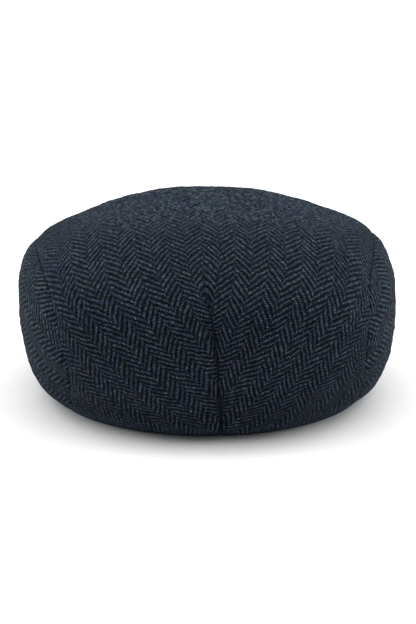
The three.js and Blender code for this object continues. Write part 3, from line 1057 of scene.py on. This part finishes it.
    relief = nodes.math("MULTIPLY_ADD", fibre, 0.35, height)
    relief = nodes.math("MULTIPLY_ADD", nodes.times(clump, nap_and_sheen_mask), 2.4, relief)
    bump = nodes.add("ShaderNodeBump")
    bump.inputs["Strength"].default_value = 0.8
    bump.inputs["Distance"].default_value = 0.0003
    nodes.join(relief, bump.inputs["Height"])
    shader = nodes.add("ShaderNodeBsdfPrincipled")
    nodes.join(colour, shader.inputs["Base Color"])
    nodes.join(bump.outputs[0], shader.inputs["Normal"])
    nodes.join(nodes.mix(fibre, 0.98, 0.8), shader.inputs["Roughness"])
    shader.inputs["Specular IOR Level"].default_value = 0.03
    shader.inputs["Sheen Weight"].default_value = 0.02
    shader.inputs["Sheen Roughness"].default_value = 0.35
    shader.inputs["Sheen Tint"].default_value = (0.45, 0.65, 0.92, 1)
    output = nodes.add("ShaderNodeOutputMaterial")
    nodes.join(shader.outputs[0], output.inputs[0])
    return material


# The cap's pieces

crown = make_cloth("crown_cloth", crown_outline(), None, crown_rows, True)
crown_piece = add_cloth(crown, crown_lie(), herringbone("crown_wool"), 2 * math.pi, True)
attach(crown_piece, "root")
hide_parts("crown")

panels = (
    ("side_panel_left", left_seam, 1, (math.radians(88), 0.24)),
    ("side_panel_right", right_seam, -1, (math.radians(-95), 0.27)),
)
for name, seam_rows, side, centre in panels:
    cloth = make_cloth(name + "_cloth", panel_outline(seam_rows, side), centre, panel_rows, False)
    lie = panel_lie(seam_rows, side, math.radians(panel_tilt))
    piece = add_cloth(cloth, lie, herringbone(name + "_wool", panel_painted_contrast), 0.0, side < 0)
    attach(piece, "root")
    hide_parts(name)


# The peak: a stiff crescent covered in the same cloth

def add_peak():
    turn = np.radians(np.linspace(peak_tip_angle, 360 - peak_tip_angle, peak_columns + 1))
    rim = rim_point(turn)
    edge = peak_edge_point(turn)
    outward = unit(rim * np.array([rim_length ** 2, rim_width ** 2]))
    rear = rim - outward * peak_tuck
    forward = unit(edge - rear)
    radius = peak_thickness / 2
    nose = edge - forward * radius
    loop = []
    flat = []
    for row in range(peak_rows + 1):
        plan = mix(rear, nose, row / peak_rows)
        loop.append((plan, peak_underside(plan[:, 0], plan[:, 1]) + peak_thickness))
        flat.append(plan)
    for step in range(1, peak_nose_steps):
        angle = math.pi * step / peak_nose_steps
        plan = nose + forward * radius * math.sin(angle)
        loop.append((plan, peak_underside(nose[:, 0], nose[:, 1]) + radius * (1 + math.cos(angle))))
        flat.append(nose + forward * radius * angle)
    for row in range(peak_rows, -1, -1):
        plan = mix(rear, nose, row / peak_rows)
        loop.append((plan, peak_underside(plan[:, 0], plan[:, 1])))
        flat.append(nose + forward * radius * math.pi + (nose - plan))
    grid = np.array([np.concatenate([plan, height[:, None]], 1) for plan, height in loop])
    spots, columns = grid.shape[:2]
    faces = []
    places = []
    for spot in range(spots):
        after = (spot + 1) % spots
        for column in range(columns - 1):
            faces.append([spot * columns + column, spot * columns + column + 1,
                          after * columns + column + 1, after * columns + column])
            places += [flat[spot][column], flat[spot][column + 1],
                       flat[after][column + 1], flat[after][column]]
    for column, backwards in ((0, False), (columns - 1, True)):
        ring = [spot * columns + column for spot in range(spots)]
        if backwards:
            ring = ring[::-1]
        faces.append(ring)
        places += [flat[spot // columns][column] for spot in ring]
    return add_object("peak_cloth", grid.reshape(-1, 3), faces, places, herringbone("peak_wool"))


peak = add_peak()
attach(peak, "root")
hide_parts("peak")


# Floor, light and camera

floor_radius = 60.0
floor_whiteness = 0.86
world_strength = 0.36

# Where each light comes from, its power and how wide it is, in degrees
lights = {
    "overhead_light": ((0, 0.1, 1), 2.4, 70),
    "left_light": ((0.85, -0.35, 0.4), 2.9, 60),
    "right_light": ((-0.85, -0.35, 0.4), 2.9, 60),
}

# The camera's place in metres and degrees, and the picture's scale and height in pixels
camera_aim = (-0.0004, 0.018032, 0.047641)
camera_distance = 1.15
camera_elevation = 13.86
pixels_per_metre = 1707
picture_height = 624
sensor_height = 36


def add_stage():
    bpy.ops.mesh.primitive_circle_add(vertices=96, radius=floor_radius, fill_type="NGON")
    floor = bpy.context.object
    floor.name = "floor"
    material = bpy.data.materials.new("pale_floor")
    nodes = Nodes(material)
    shader = nodes.add("ShaderNodeBsdfPrincipled")
    shader.inputs["Base Color"].default_value = (floor_whiteness, floor_whiteness, floor_whiteness, 1)
    shader.inputs["Roughness"].default_value = 0.9
    shader.inputs["Specular IOR Level"].default_value = 0.1
    output = nodes.add("ShaderNodeOutputMaterial")
    nodes.join(shader.outputs[0], output.inputs[0])
    floor.data.materials.append(material)

    world = bpy.data.worlds.new("studio")
    bpy.context.scene.world = world
    world.use_nodes = True
    background = world.node_tree.nodes["Background"]
    background.inputs[0].default_value = (1, 1, 1, 1)
    background.inputs[1].default_value = world_strength

    for name, (come_from, power, width) in lights.items():
        sun = bpy.data.lights.new(name, "SUN")
        sun.energy = power
        sun.angle = math.radians(width)
        lamp = bpy.data.objects.new(name, sun)
        lamp.rotation_euler = Vector(come_from).to_track_quat("Z", "Y").to_euler()
        bpy.context.collection.objects.link(lamp)
    bpy.context.scene.view_settings.view_transform = "Standard"


def add_camera():
    elevation = math.radians(camera_elevation)
    away = Vector((0, math.cos(elevation), math.sin(elevation)))
    camera = bpy.data.cameras.new("camera")
    camera.sensor_fit = "VERTICAL"
    camera.sensor_height = sensor_height
    camera.lens = pixels_per_metre * camera_distance / picture_height * sensor_height
    camera.clip_end = 200
    item = bpy.data.objects.new("camera", camera)
    item.location = Vector(camera_aim) + away * camera_distance
    item.rotation_euler = (-away).to_track_quat("-Z", "Y").to_euler()
    bpy.context.collection.objects.link(item)
    bpy.context.scene.camera = item


add_stage()
add_camera()
